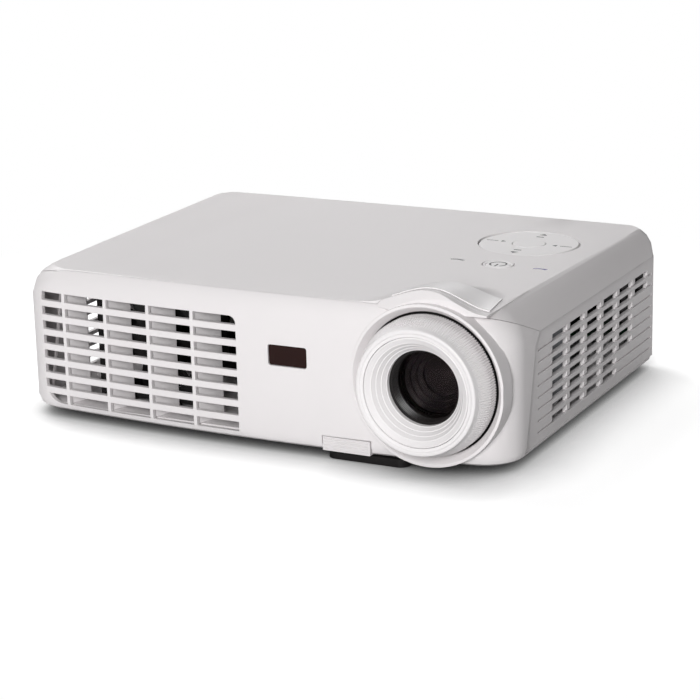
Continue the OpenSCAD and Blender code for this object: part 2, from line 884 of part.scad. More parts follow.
// Domed front glass resting on the barrel's inner step
module front_glass() {
    sag = 3;
    r = mouth_r - 0.7;
    big = (r * r + sag * sag) / (2 * sag);
    color([0.5, 0.55, 0.7, 0.5])
    translate([lens_x, front_y - ring_proud + 20.98, lens_z]) rotate([90, 0, 0])
        union() {
            cylinder(h = 2, r = r, $fn = fine);
            intersection() {
                translate([0, 0, 2 + sag - big]) sphere(big, $fn = fine * 2);
                translate([0, 0, 1.9]) cylinder(h = sag + 1, r = r, $fn = fine);
            }
        }
}

module rear_glass() {
    color([0.4, 0.5, 0.6, 0.5])
    bar_y(13.94, front_y - ring_proud + barrel_back - 12, front_y - ring_proud + barrel_back - 6,
        lens_x, lens_z);
}

// Black plate behind the collar that keeps dust and light out of the gap
module lens_shroud() {
    color(black)
    intersection() {
        form(wall + 0.3);
        difference() {
            bar_y(collar_r + collar_wall + shroud_rim, shroud_y, shroud_y + shroud_t, lens_x, lens_z);
            bar_y(barrel_r - 0.6, front_y, front_y + 30, lens_x, lens_z);
            block([lens_x - 60, front_y, 0], [lens_x + 60, front_y + 30, floor_z + tongue_t + 0.2]);
        }
    }
}

// ---------------------------------------------------------------- optics

lamp_low = [-100, door_y - 34, base_z + 1.6];
lamp_high = [-24, door_y + 34, base_z + 64];
lamp_mid_y = (lamp_low.y + lamp_high.y) / 2;
lamp_z = (lamp_low.z + lamp_high.z) / 2;
engine_y = front_y + barrel_back - ring_proud + 0.3;
engine_z = base_z + 11;
engine_low = [lens_x - 36.5, engine_y, engine_z];
engine_high = [lens_x + 33.5, engine_y + 46, top_z - 12];
engine_posts = [for (x = [engine_low.x + 6, engine_high.x - 6]) for (y = [8, 38]) [x, engine_y + y]];
tunnel_z = lamp_z - 13;
wheel_x = lens_x - 76.5;
wheel_y = engine_y + 47;
wheel_z = lamp_z + 10;

module optical_engine() {
    color([0.35, 0.36, 0.38])
    difference() {
        union() {
            block(engine_low, engine_high);
            // Light tunnel towards the colour wheel
            block([wheel_x + 8, engine_y + 12, tunnel_z],
                [engine_low.x + 0.5, engine_y + 36, tunnel_z + 26]);
        }
        bar_y(13.9, engine_y - 9, engine_y + 40, lens_x, lens_z);
        block([wheel_x, engine_y + 15, tunnel_z + 3], [lens_x, engine_y + 33, tunnel_z + 23]);
        // Cast pockets in the lid
        for (i = [0:2]) {
            x = engine_low.x + 4 + i * 21;
            block([x, engine_y + 5, engine_high.z - 2], [x + 18, engine_y + 41, engine_high.z + 1]);
        }
    }
}

chip_y = engine_high.y + 1.6;

module chip_board() {
    color(board_green)
        block([engine_low.x + 2, engine_high.y + 0.02, engine_z + 3],
            [engine_high.x - 2, chip_y, engine_high.z - 2]);
}

module chip_heatsink() {
    low = engine_low.x + 14;
    high = engine_high.z - 8;
    color([0.6, 0.6, 0.62]) {
        block([low, chip_y + 0.02, engine_z + 8], [low + 44, chip_y + 2.4, high]);
        for (i = [0:7]) {
            block([low + 0.5 + i * 6, chip_y + 2.3, engine_z + 8], [low + 2 + i * 6, chip_y + 12.4, high]);
        }
    }
}

// Disc of filter segments that spins between lamp and tunnel
module colour_wheel() {
    color([0.7, 0.75, 0.8])
    translate([wheel_x, wheel_y, wheel_z]) rotate([0, 90, 0])
        difference() {
            union() {
                cylinder(h = 1.2, r = 21, $fn = fine);
                translate([0, 0, -1]) cylinder(h = 4, r = 8, $fn = fine);
            }
            translate([0, 0, -2]) cylinder(h = 8, r = 2.08, $fn = coarse);
        }
}

module wheel_motor() {
    color(grey) {
        translate([wheel_x - 2, wheel_y, wheel_z]) rotate([0, 90, 0])
            cylinder(h = 8, r = 2, $fn = coarse);
        translate([wheel_x + 3.4, wheel_y, wheel_z]) rotate([0, 90, 0])
            cylinder(h = 9, r = 9, $fn = coarse);
        block([wheel_x + 5, wheel_y - 8, floor_z], [wheel_x + 12, wheel_y + 6, wheel_z - 7]);
    }
}

// Cage of the lamp, which lifts out through the door in the floor
module lamp_housing() {
    color(black)
    difference() {
        block(lamp_low, lamp_high);
        block([lamp_low.x + 2.5, lamp_low.y + 2.5, lamp_low.z + 2.5],
            [lamp_high.x - 2.5, lamp_high.y - 2.5, lamp_high.z - 2.5]);
        translate([lamp_high.x - 3, lamp_mid_y, lamp_z]) rotate([0, 90, 0])
            cylinder(h = 9, r = 24, $fn = fine);
        for (i = [0:5]) {
            block([lamp_low.x + 8 + i * 10, lamp_low.y - 1, lamp_low.z + 12],
                [lamp_low.x + 13 + i * 10, lamp_high.y + 1, lamp_high.z - 12]);
        }
    }
}

// Reflector bowl with the burner at its focus
module lamp_reflector() {
    color([0.8, 0.82, 0.85])
    translate([lamp_high.x - 2.6, lamp_mid_y, lamp_z]) rotate([0, -90, 0])
        rotate_extrude($fn = fine) polygon(concat(
            [[25.5, 0], [28, 0], [28, 3]],
            [for (i = [0:8]) [27 - 20 * pow(i / 8, 1.6), 4 + 30 * i / 8]],
            [[7, 44], [0, 44], [0, 10], [2.5, 12], [3.5, 16], [2, 22], [2, 33]],
            [for (i = [8:-1:0]) [24.8 - 19.5 * pow(i / 8, 1.6), 4 + 28.5 * i / 8]]
        ));
}

module lamp_cable_block() {
    color([0.9, 0.9, 0.85])
        block([lamp_low.x + 2.5, lamp_mid_y - 9, lamp_z - 8],
            [lamp_high.x - 2.6 - 44.05, lamp_mid_y + 9, lamp_z + 8]);
}

// ---------------------------------------------------------------- air

fan_x = -72;
fan_y = front_y + 24;
fan_z = base_z + 37;
fan_size = 62;
fan_t = 15;

module fan_frame() {
    color(black)
    difference() {
        union() {
            block([fan_x - fan_size / 2, fan_y, fan_z - fan_size / 2],
                [fan_x + fan_size / 2, fan_y + fan_t, fan_z + fan_size / 2]);
            block([fan_x - 20, fan_y + 7, floor_z], [fan_x + 20, fan_y + 12, fan_z - fan_size / 2 + 0.1]);
        }
        difference() {
            bar_y(fan_size / 2 - 2.5, fan_y - 1, fan_y + fan_t + 1, fan_x, fan_z);
            bar_y(12, fan_y + fan_t - 2, fan_y + fan_t + 2, fan_x, fan_z);
            for (a = [20, 110, 200, 290]) {
                translate([fan_x, fan_y + fan_t - 2, fan_z]) rotate([0, a, 0])
                    translate([0, 0, -1.5]) cube([fan_size / 2, 2, 3]);
            }
            bar_y(1.5, fan_y + 4, fan_y + fan_t, fan_x, fan_z, coarse);
        }
        for (x = [-1, 1]) {
            for (z = [-1, 1]) {
                bar_y(2.1, fan_y - 1, fan_y + fan_t + 1,
                    fan_x + x * (fan_size / 2 - 4.5), fan_z + z * (fan_size / 2 - 4.5), coarse);
            }
        }
    }
}

module fan_rotor() {
    blade_r = fan_size / 2 - 3.4;
    color(black)
    difference() {
        union() {
            bar_y(12, fan_y + 1, fan_y + fan_t - 2.6, fan_x, fan_z);
            for (i = [0:6]) {
                translate([fan_x, fan_y + 6.6, fan_z]) rotate([0, i * 360 / 7, 0])
                    intersection() {
                        rotate([30, 0, 0]) translate([10, -0.8, -7]) cube([blade_r - 10, 1.6, 14]);
                        bar_y(blade_r, -5.6, 5.2, 0, 0);
                    }
            }
        }
        bar_y(1.58, fan_y + 3.6, fan_y + fan_t, fan_x, fan_z, coarse);
    }
}

blower_r = 25;
blower_x = -93;
blower_y = rear_y - rear_panel_t - blower_r - 3;
outlet_y = lamp_high.y + 0.3;

// Flat blower that cools the lamp, drawing air from the left grille
module blower_case() {
    color(black)
    difference() {
        union() {
            translate([blower_x, blower_y, floor_z]) cylinder(h = 18, r = blower_r + 2, $fn = fine);
            block([blower_x + 3, outlet_y, floor_z], [blower_x + blower_r + 2, blower_y, floor_z + 18]);
        }
        translate([blower_x, blower_y, floor_z + 2]) cylinder(h = 14, r = blower_r, $fn = fine);
        translate([blower_x, blower_y, floor_z + 15]) cylinder(h = 5, r = 15, $fn = fine);
        block([blower_x + 5, outlet_y - 1, floor_z + 2], [blower_x + blower_r, blower_y, floor_z + 16]);
    }
    color(black)
        translate([blower_x, blower_y, floor_z + 1.9]) cylinder(h = 9, r = 1.5, $fn = coarse);
}

module blower_rotor() {
    color([0.15, 0.15, 0.16])
    translate([blower_x, blower_y, floor_z + 3])
        difference() {
            union() {
                cylinder(h = 11, r = 9, $fn = fine);
                cylinder(h = 1, r = 22, $fn = fine);
                for (i = [0:23]) {
                    rotate([0, 0, i * 15]) translate([17, -0.5, 0.5]) rotate([0, 0, 25]) cube([5, 1, 10]);
                }
            }
            translate([0, 0, -1]) cylinder(h = 9.4, r = 1.58, $fn = coarse);
        }
}

// ---------------------------------------------------------------- boards

main_z = base_z + 21;
main_low = [x_half - 150, rear_y - 44, main_z];
main_high = [x_half - 9, rear_y - 4, main_z + 1.6];
main_posts = [
    [main_low.x + 6, rear_y - 38], [main_high.x - 7, rear_y - 38],
    [main_low.x + 6, rear_y - 10], [main_high.x - 15, rear_y - 10]
];
power_z = base_z + 8;
power_low = [-20, -22, power_z];
power_high = [12, rear_y - 62, power_z + 1.6];
power_posts = [[-16, -16], [8, -16], [-16, rear_y - 68], [8, rear_y - 68]];

module main_board() {
    color(board_green) block(main_low, main_high);
}

module board_parts() {
    top = main_high.z;
    color([0.12, 0.12, 0.13]) {
        for (i = [0:3]) {
            x = main_low.x + 14 + i * 30;
            block([x, rear_y - 40, top], [x + 16, rear_y - 27, top + 2]);
        }
        for (i = [0:5]) {
            translate([main_low.x + 20 + i * 20, rear_y - 24.5, top]) cylinder(h = 6, r = 2.2, $fn = 24);
        }
    }
}

module power_board() {
    color(board_green) block(power_low, power_high);
}

// Transformer, capacitors and heat sinks of the supply
module power_parts() {
    top = power_high.z;
    color([0.75, 0.7, 0.3]) block([-14, -14, top], [6, 4, top + 20]);
    color([0.15, 0.2, 0.3])
        for (i = [0:2]) {
            translate([-6, 14 + i * 12, top]) cylinder(h = 24, r = 5.2, $fn = coarse);
        }
    color([0.6, 0.6, 0.62]) block([3, 6, top], [6, rear_y - 68, top + 26]);
}

module key_board() {
    color(board_green)
        block([pad_x - 37, board_y - 50, board_top - 1.62], [pad_x + 37, board_y + 56, board_top - 0.02]);
}

module speaker() {
    color([0.1, 0.1, 0.1])
        translate([panel_in, rear_y - 30, base_z + 44]) rotate([0, -90, 0])
            difference() {
                union() {
                    translate([-12, -17, 0]) cube([24, 34, 4]);
                    cylinder(h = 9, r1 = 11, r2 = 7, $fn = coarse);
                }
                translate([0, 0, -1]) cylinder(h = 3, r = 10, $fn = coarse);
            }
}

// ---------------------------------------------------------------- keys

pad_top = top_at(pad_x) - 0.1;
power_top = top_at(power_x) + 0.1;

module direction_pad() {
    color(white)
    translate([pad_x, pad_y, 0])
        difference() {
            union() {
                translate([0, 0, pad_top - 3]) cylinder(h = 2.4, r = pad_r, $fn = fine);
                translate([0, 0, pad_top - 0.65])
                    cylinder(h = 0.65, r1 = pad_r, r2 = pad_r - 0.6, $fn = fine);
                translate([0, 0, board_top + key_travel + 0.3])
                    cylinder(h = pad_top - 2 - board_top - key_travel - 0.3, r = menu_r + 4, $fn = fine);
            }
            cylinder(h = 200, r = menu_r + key_gap, $fn = fine);
        }
}

module menu_button() {
    color(white)
    translate([pad_x, pad_y, board_top + key_travel + 0.2]) {
        cylinder(h = pad_top + 0.2 - board_top - key_travel - 0.2, r = menu_r, $fn = fine);
    }
}

module power_button() {
    color(white)
    translate([power_x, power_y, board_top + key_travel + 0.2])
        difference() {
            cylinder(h = power_top - board_top - key_travel - 0.2, r = power_r, $fn = fine);
            translate([0, 0, power_top - board_top - key_travel - 0.2 - 0.5])
                difference() {
                    cylinder(h = 2, r = power_r - 1.2, $fn = fine);
                    translate([0, 0, -1]) cylinder(h = 4, r = power_r - 1.8, $fn = fine);
                }
        }
}

module light_guide(side) {
    intersection() {
        light_slot(side, -0.12);
        block([0, power_y - 20, board_top + 0.02],
            [x_half, power_y + 20, top_at(power_x + side * light_off) - 0.05]);
    }
    // Leg down to the lamp on the key board
    translate([power_x + side * light_off, power_y + 1, board_top + 0.02])
        cylinder(h = top_z - wall - board_top, r = 0.8, $fn = 24);
}

module lamp_light() {
    color([0.5, 0.5, 0.52]) light_guide(-1);
}

module heat_light() {
    color([0.4, 0.38, 0.6]) light_guide(1);
}

// ---------------------------------------------------------------- rear

socket_z = main_high.z;
monitor_x = [x_half - 120, x_half - 82];
serial_x = x_half - 44;
digital_x = x_half - 144;
service_x = x_half - 22;
video_x = [for (i = [0:2]) x_half - 140 + i * 14];
audio_x = [for (i = [0:1]) x_half - 94 + i * 12];
upper_z = main_high.z + 21;
inlet_x = -50;
inlet_z = base_z + 22;
inlet_size = [28, 20.4];
rear_gap = 0.25;
post_off = 12.6;

module monitor_shape(grow) {
    top = 8.2 + grow;
    low = 6.8 + grow;
    polygon([[-top, 4 + grow], [top, 4 + grow], [low, -4 - grow], [-low, -4 - grow]]);
}

// Outline on the rear panel, cut through it
module rear_cut(x, z) {
    translate([x, rear_y + 2, z]) rotate([90, 0, 0]) linear_extrude(12) children();
}

module rear_panel() {
    color([0.8, 0.8, 0.8])
    difference() {
        intersection() {
            shell();
            block([-x_half - 1, rear_y - rear_panel_t, base_z + 1.4],
                [x_half + 1, rear_y + 1, side_top_z - seam / 2]);
        }
        for (x = monitor_x) {
            rear_cut(x, socket_z + 6) monitor_shape(1 + rear_gap);
        }
        rear_cut(serial_x, socket_z + 6) monitor_shape(1 + rear_gap);
        for (x = concat(monitor_x, [serial_x])) {
            for (s = [-1, 1]) {
                rear_cut(x + s * post_off, socket_z + 6) circle(2.5, $fn = coarse);
            }
        }
        rear_cut(digital_x, socket_z + 4) square([16.2, 7.2], center = true);
        rear_cut(service_x, socket_z + 6) square([13, 12.4], center = true);
        for (x = video_x) {
            rear_cut(x, upper_z) circle(4.5, $fn = coarse);
        }
        for (x = audio_x) {
            rear_cut(x, upper_z) circle(4.3, $fn = coarse);
        }
        rear_cut(inlet_x, inlet_z)
            square(inlet_size + 2 * [rear_gap, rear_gap], center = true);
        // Slot for a security lock
        rear_cut(x_half - 14, base_z + 44) square([7, 3], center = true);
        // Air slots
        for (i = [0:6]) {
            rear_cut(-118 + i * 7, base_z + 40) square([3.6, 24], center = true);
        }
    }
}

// Appliance inlet: a deep cup with three flat pins
module power_inlet() {
    color(black)
    translate([inlet_x, rear_y + 0.4, inlet_z]) rotate([90, 0, 0])
        difference() {
            union() {
                linear_extrude(22) square(inlet_size, center = true);
                translate([0, 0, wall + 0.6]) linear_extrude(2) square(inlet_size + [6, 4], center = true);
                translate([-8, -inlet_z + floor_z, 8]) cube([16, inlet_z - floor_z, 8]);
            }
            translate([0, 0, -1]) linear_extrude(18)
                polygon([[-12, -8], [12, -8], [12, 3], [7, 8], [-7, 8], [-12, 3]]);
        }
}

module inlet_pins() {
    color([0.8, 0.75, 0.5])
    translate([inlet_x, rear_y + 0.4, inlet_z]) rotate([90, 0, 0]) {
        translate([0, 3.6, 4]) linear_extrude(13) square([2, 4], center = true);
        for (x = [-7, 7]) {
            translate([x, -1, 4]) linear_extrude(13) square([2, 4], center = true);
        }
    }
}

module d_socket(x, shade) {
    translate([x, rear_y + rear_proud, socket_z + 6]) rotate([90, 0, 0]) {
        color(shade)
        difference() {
            linear_extrude(7) monitor_shape(1);
            for (r = [-1, 0, 1]) {
                for (i = [-2:2]) {
                    translate([i * 2.3 + (r % 2 == 0 ? 0 : 0.5), r * 2, -1])
                        cylinder(h = 4, r = 0.5, $fn = 16);
                }
            }
        }
        color(grey) translate([-15, -6, 6.9]) cube([30, 12, 9]);
    }
}

module monitor_sockets() {
    for (x = monitor_x) {
        d_socket(x, [0.15, 0.25, 0.6]);
    }
}

module serial_socket() {
    d_socket(serial_x, [0.2, 0.2, 0.2]);
}

// Hex posts that a plug's thumb screws go into
module socket_posts() {
    color(grey)
        for (x = concat(monitor_x, [serial_x])) {
            for (s = [-1, 1]) {
                translate([x + s * post_off, rear_y + rear_proud, socket_z + 6]) rotate([90, 0, 0])
                    difference() {
                        cylinder(h = 3.15, r = 2.3, $fn = 6);
                        translate([0, 0, -1]) cylinder(h = 4, r = 1.25, $fn = 24);
                    }
            }
        }
}

module digital_socket() {
    color(grey)
    translate([digital_x, rear_y + 0.2, socket_z + 4]) rotate([90, 0, 0])
        difference() {
            linear_extrude(13) square([15.6, 6.6], center = true);
            translate([0, 0, -1]) linear_extrude(10) difference() {
                square([14.2, 5], center = true);
                translate([0, 0.6]) square([10.6, 1], center = true);
            }
        }
    color(grey) block([digital_x - 6, rear_y - 12, socket_z], [digital_x + 6, rear_y - 4, socket_z + 1]);
}

module service_socket() {
    color(grey)
    translate([service_x, rear_y + 0.2, socket_z + 6]) rotate([90, 0, 0])
        difference() {
            linear_extrude(16) square([12.4, 12], center = true);
            translate([0, 0, -1]) linear_extrude(12) difference() {
                polygon([[-4.4, -4], [4.4, -4], [4.4, 2.6], [3, 4.2], [-3, 4.2], [-4.4, 2.6]]);
                square([5.6, 3], center = true);
            }
        }
}

// A jack on a block, whose leg reaches down to the board behind the sockets
module round_jack(x, r, hole) {
    translate([x, rear_y + 0.4, upper_z]) rotate([90, 0, 0])
        difference() {
            union() {
                cylinder(h = 6, r = r, $fn = coarse);
                translate([-5.5, -5.5, 5.9]) cube([11, 11, 15]);
                translate([-5.5, socket_z - upper_z, 17]) cube([11, upper_z - socket_z, 3.9]);
            }
            translate([0, 0, -1]) cylinder(h = 12, r = hole, $fn = coarse);
        }
}

module video_jacks() {
    color([0.85, 0.8, 0.2])
        for (x = video_x) {
            round_jack(x, 3.2, 1.65);
        }
}

module jack_rings() {
    color(grey)
        for (x = video_x) {
            translate([x, rear_y + rear_proud, upper_z]) rotate([90, 0, 0])
                difference() {
                    cylinder(h = 6, r = 4.15, $fn = coarse);
                    translate([0, 0, -1]) cylinder(h = 10, r = 3.25, $fn = coarse);
                }
        }
}

module audio_jacks() {
    color([0.2, 0.5, 0.3])
        for (x = audio_x) {
            round_jack(x, 4, 1.75);
        }
}

top_cover();
bottom_case();
front_bezel();
rear_panel();
left_grille();
right_grille();
exhaust_louvre();
wave_trim();
ir_window();
lens_shroud();
focus_ring();
lens_hood();
lens_barrel();
front_glass();
rear_glass();
optical_engine();
chip_board();
chip_heatsink();
colour_wheel();
wheel_motor();
lamp_housing();
lamp_reflector();
lamp_cable_block();
lamp_door();
fan_frame();
fan_rotor();
blower_case();
blower_rotor();
main_board();
board_parts();
power_board();
power_parts();
key_board();
speaker();
direction_pad();
menu_button();
power_button();
lamp_light();
heat_light();
release_button();
elevator_foot();
elevator_guide();
left_foot_stem();
right_foot_stem();
left_foot_disc();
right_foot_disc();
power_inlet();
inlet_pins();
monitor_sockets();
socket_posts();
serial_socket();
digital_socket();
service_socket();
video_jacks();
jack_rings();
audio_jacks();
case_screws();
door_screws();
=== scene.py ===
# %% [markdown]
# # A compact desk projector
#
# The mouldings, the optics and every moving piece come from the CAD model,
# which is loaded first and is never moved. This script dresses them. It welds
# and smooths the mouldings, turns the lens mouth on a lathe, adds the grip ribs
# and the printed key marks that a solid leaves out, and gives each piece its
# finish.

# %% Load the model
import json
import math

import bmesh
import bpy
from mathutils import Matrix, Vector


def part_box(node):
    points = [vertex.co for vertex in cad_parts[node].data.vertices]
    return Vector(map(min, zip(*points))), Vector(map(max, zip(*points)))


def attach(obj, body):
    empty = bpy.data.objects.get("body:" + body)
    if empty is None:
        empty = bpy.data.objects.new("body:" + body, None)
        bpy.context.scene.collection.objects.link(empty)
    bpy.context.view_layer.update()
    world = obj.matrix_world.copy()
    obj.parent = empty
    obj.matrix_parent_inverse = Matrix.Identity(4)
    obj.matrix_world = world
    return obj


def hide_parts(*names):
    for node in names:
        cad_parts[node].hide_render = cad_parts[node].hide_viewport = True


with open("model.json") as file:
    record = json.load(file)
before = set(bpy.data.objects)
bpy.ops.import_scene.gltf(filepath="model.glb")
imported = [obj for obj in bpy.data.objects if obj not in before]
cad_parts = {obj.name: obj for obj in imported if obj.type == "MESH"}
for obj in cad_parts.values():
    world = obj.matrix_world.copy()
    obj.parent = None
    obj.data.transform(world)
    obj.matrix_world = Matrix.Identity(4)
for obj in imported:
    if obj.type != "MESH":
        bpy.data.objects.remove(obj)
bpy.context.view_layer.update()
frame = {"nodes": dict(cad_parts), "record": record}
MM = 0.001

# %% [markdown]
# ## The camera
#
# The photograph looks down a little at the front and at the lens side. Its
# angles come from lining the straight edges of the housing up with the picture.
# The camera could be aimed at a target instead, but a measured turn, pitch and
# roll put every edge where the photograph has it.

# %% Camera
TURN, PITCH, ROLL = (math.radians(angle) for angle in (27.17, 16.02, 1.35))
CAMERA_PLACE = Vector((0.5252, -1.0122, 0.3516))
FOCAL_LENGTH = 112.4
SENSOR_WIDTH = 36.0
scene = bpy.context.scene


def placed(name, data):
    """A new object in the scene that holds a mesh, a lamp or a camera."""
    made = bpy.data.objects.new(name, data)
    scene.collection.objects.link(made)
    return made


def camera_turn(turn, pitch, roll):
    """Rotation of a camera that faces +Y, turned to its left and tipped down."""
    level = Vector((-math.sin(turn), math.cos(turn), 0))
    ahead = level * math.cos(pitch) - Vector((0, 0, math.sin(pitch)))
    right = Vector((math.cos(turn), math.sin(turn), 0))
    down = ahead.cross(right)
    right_rolled = math.cos(roll) * right + math.sin(roll) * down
    down_rolled = math.cos(roll) * down - math.sin(roll) * right
    return Matrix((right_rolled, -down_rolled, -ahead)).transposed().to_4x4()


camera_data = bpy.data.cameras.new("photo_camera")
camera_data.lens = FOCAL_LENGTH
camera_data.sensor_width = SENSOR_WIDTH
camera = placed("photo_camera", camera_data)
camera.matrix_world = Matrix.Translation(CAMERA_PLACE) @ camera_turn(TURN, PITCH, ROLL)
scene.camera = camera
scene.view_settings.view_transform = "Standard"
print("camera", tuple(round(value, 3) for value in camera.location))

# %% [markdown]
# ## Building with nodes
#
# Every surface below is a small tree of nodes, and so are the grip ribs. One
# helper makes a node and fills in or wires up its inputs. A few more cover the
# steps that come back in each recipe: a product, a mix of two colours, a change
# of range, a noise and a bump. Writing each link on a line of its own would say
# the same at three times the length.

# %% Node helpers
def add_node(tree, kind, inputs=None, **settings):
    """A node with its settings made, and each input given a value or wired to a socket."""
    made = tree.nodes.new(kind)
    for name, value in settings.items():
        setattr(made, name, value)
    for socket, value in (inputs or {}).items():
        if isinstance(value, bpy.types.NodeSocket):
            tree.links.new(value, made.inputs[socket])
        else:
            made.inputs[socket].default_value = value
    return made


def times(tree, first, second):
    """The product of two numbers."""
    return add_node(tree, "ShaderNodeMath", {0: first, 1: second}, operation="MULTIPLY").outputs[0]


def mixed(tree, share, first, second):
    """A colour between two, by a share from 0 to 1."""
    inputs = {"Factor": share, "A": first, "B": second}
    return add_node(tree, "ShaderNodeMix", inputs, data_type="RGBA").outputs["Result"]


def ranged(tree, value, **limits):
    """A number moved from one range to another; each limit is named as its socket."""
    inputs = {label.replace("_", " "): limit for label, limit in limits.items()}
    return add_node(tree, "ShaderNodeMapRange", {"Value": value, **inputs}).outputs["Result"]


def noise(tree, place, scale, detail, roughness=0.5):
    """A cloudy pattern from 0 to 1; the scale is in waves to the metre."""
    inputs = {"Vector": place, "Scale": scale, "Detail": detail, "Roughness": roughness}
    return add_node(tree, "ShaderNodeTexNoise", inputs).outputs["Fac"]


def bumped(tree, height, strength, depth, normal=None):
    """A surface direction that a pattern disturbs; the depth is in metres."""
    inputs = {"Height": height, "Strength": strength, "Distance": depth}
    if normal is not None:
        inputs["Normal"] = normal
    return add_node(tree, "ShaderNodeBump", inputs).outputs["Normal"]


# %% Start and close a material
def new_material(name):
    """A material, its empty tree, and the socket that gives the object's own coordinates."""
    material = bpy.data.materials.new(name)
    material.use_nodes = True
    tree = material.node_tree
    tree.nodes.clear()
    return material, tree, add_node(tree, "ShaderNodeTexCoord").outputs["Object"]


def set_surface(tree, shader):
    """Make a shader the surface of the material."""
    add_node(tree, "ShaderNodeOutputMaterial", {"Surface": shader.outputs[0]})


# %% [markdown]
# ## The floor
#
# A studio shot like this one stands on a white sweep. The floor is a matt white
# sheet that glows a little where the camera looks at it, so that it reads as
# white paper while it still takes the object's shadow. Right under the housing,
# ambient occlusion paints shade into the sheet's colour and its glow, where a
# real sheet is dark too. Further out it blends into plain white, as the sweep
# does in the photograph. A floor that only catches shadows would do as well, but
# it needs a transparent picture and a second step to put white behind it.

# %% Floor
FLOOR_HALF = 4.0
FLOOR_WHITE = 0.8
SEEN_WHITE = 1.0
PAINTED_SHADE_REACH = 0.035
PAPER_GLOW = 0.55
WHITE_FROM = 0.2
WHITE_TO = 0.42
PURE_WHITE = (1, 1, 1, 1)


def paper(tree, place, seen):
    """Lit paper with painted shade right under the object, which glows where the camera sees it."""
    lit_white = (FLOOR_WHITE, FLOOR_WHITE, FLOOR_WHITE, 1)
    seen_white = (SEEN_WHITE, SEEN_WHITE, SEEN_WHITE, 1)
    # Ambient occlusion paints shade into the paper's colour right under the housing.
    painted_shade = add_node(tree, "ShaderNodeAmbientOcclusion", {
        "Color": mixed(tree, seen, lit_white, seen_white), "Distance": PAINTED_SHADE_REACH,
    }, samples=12)
    fibre = noise(tree, place, scale=900.0, detail=3.0)
    sheet = add_node(tree, "ShaderNodeBsdfDiffuse", {
        "Color": painted_shade.outputs["Color"], "Normal": bumped(tree, fibre, strength=0.05, depth=0.2 * MM),
    })
    # The same painted shade dims the glow.
    glow_strength = times(tree, times(tree, seen, PAPER_GLOW), painted_shade.outputs["AO"])
    glow = add_node(tree, "ShaderNodeEmission", {"Color": PURE_WHITE, "Strength": glow_strength})
    return add_node(tree, "ShaderNodeAddShader", {0: sheet.outputs[0], 1: glow.outputs[0]})


def floor_material():
    """Paper under the object, and plain white further out where the camera sees it."""
    material, tree, place = new_material("white_sweep")
    seen = add_node(tree, "ShaderNodeLightPath").outputs["Is Camera Ray"]
    away = add_node(tree, "ShaderNodeVectorMath", {0: place}, operation="LENGTH").outputs["Value"]
    blend = add_node(tree, "ShaderNodeMapRange", {
        "Value": away, "From Min": WHITE_FROM, "From Max": WHITE_TO,
    }, interpolation_type="SMOOTHSTEP")
    plain = add_node(tree, "ShaderNodeEmission", {"Color": PURE_WHITE, "Strength": 1.0})
    set_surface(tree, add_node(tree, "ShaderNodeMixShader", {
        0: times(tree, blend.outputs["Result"], seen),
        1: paper(tree, place, seen).outputs[0],
        2: plain.outputs[0],
    }))
    return material


floor_mesh = bpy.data.meshes.new("studio_floor")
floor_corners = [(x * FLOOR_HALF, y * FLOOR_HALF, 0) for x, y in ((-1, -1), (1, -1), (1, 1), (-1, 1))]
floor_mesh.from_pydata(floor_corners, [], [(0, 1, 2, 3)])
floor_mesh.materials.append(floor_material())
placed("studio_floor", floor_mesh)
print("floor:", 2 * FLOOR_HALF, "m across")

# %% [markdown]
# ## The light
#
# The shadows in the photograph are soft, and the front is far brighter than the
# lens side. So a large soft lamp stands in front, and two weak ones at the left
# and behind lift the top and the far edges. The surroundings are dim for
# everything but the camera, which sees white. A lit dome alone would be
# simpler, but it gives all the faces the same brightness.

# %% World
WORLD_LIGHT = 0.1

world = bpy.data.worlds.new("studio_air")
world.use_nodes = True
air = world.node_tree
air.nodes.clear()
dim = add_node(air, "ShaderNodeBackground", {"Color": PURE_WHITE, "Strength": WORLD_LIGHT})
white = add_node(air, "ShaderNodeBackground", {"Color": PURE_WHITE, "Strength": 1.0})
pick = add_node(air, "ShaderNodeMixShader", {
    0: add_node(air, "ShaderNodeLightPath").outputs["Is Camera Ray"],
    1: dim.outputs[0],
    2: white.outputs[0],
})
add_node(air, "ShaderNodeOutputWorld", {"Surface": pick.outputs[0]})
scene.world = world
print("world light:", WORLD_LIGHT)

# %% Lamps
LAMPS = {
    "front_softbox": {"place": (0.6, -2.1, 0.8), "size": 0.9, "power": 39.0},
    "left_softbox": {"place": (-0.8, 0.35, 0.8), "size": 0.8, "power": 7.0},
    "back_softbox": {"place": (-0.5, 1.4, 0.95), "size": 0.9, "power": 4.5},
}
LAMP_TARGET = Vector((0, 0, 0.04))


def build_lamp(name, place, size, power):
    """A round area lamp that points at the middle of the object."""
    light = bpy.data.lights.new(name, "AREA")
    light.shape = "DISK"
    light.size = size
    light.energy = power
    lamp = placed(name, light)
    lamp.location = place
    lamp.rotation_euler = (LAMP_TARGET - Vector(place)).to_track_quat("-Z", "Y").to_euler()


for lamp_name, lamp_values in LAMPS.items():
    build_lamp(lamp_name, **lamp_values)
print("lamps:", ", ".join(LAMPS))

# %% [markdown]
# ## Plastic
#
# Nearly everything is moulded plastic. One recipe covers it: a base colour with
# faint cloudy variation, a roughness that drifts a little, and a fine grain from
# the tool's surface as bump. Where a finish has an edge radius, the shading
# rounds the sharp edges by it. Painting textures by hand would be the other way,
# but a pattern in the object's own coordinates needs no unwrapping and stays put
# on moving pieces.

# %% Plastic recipe
PLASTIC_DRIFT = 0.12
RUBBED_LIGHTER = 0.25


def rubbed_edges(tree, tint, colour, wear):
    """The tint, made lighter where handling has rubbed the outer edges."""
    edges = add_node(tree, "ShaderNodeNewGeometry").outputs["Pointiness"]
    share = ranged(tree, edges, From_Min=0.52, From_Max=0.6, To_Max=wear)
    lighter = [min(1, channel + RUBBED_LIGHTER) for channel in colour]
    return mixed(tree, share, tint, (*lighter, 1))


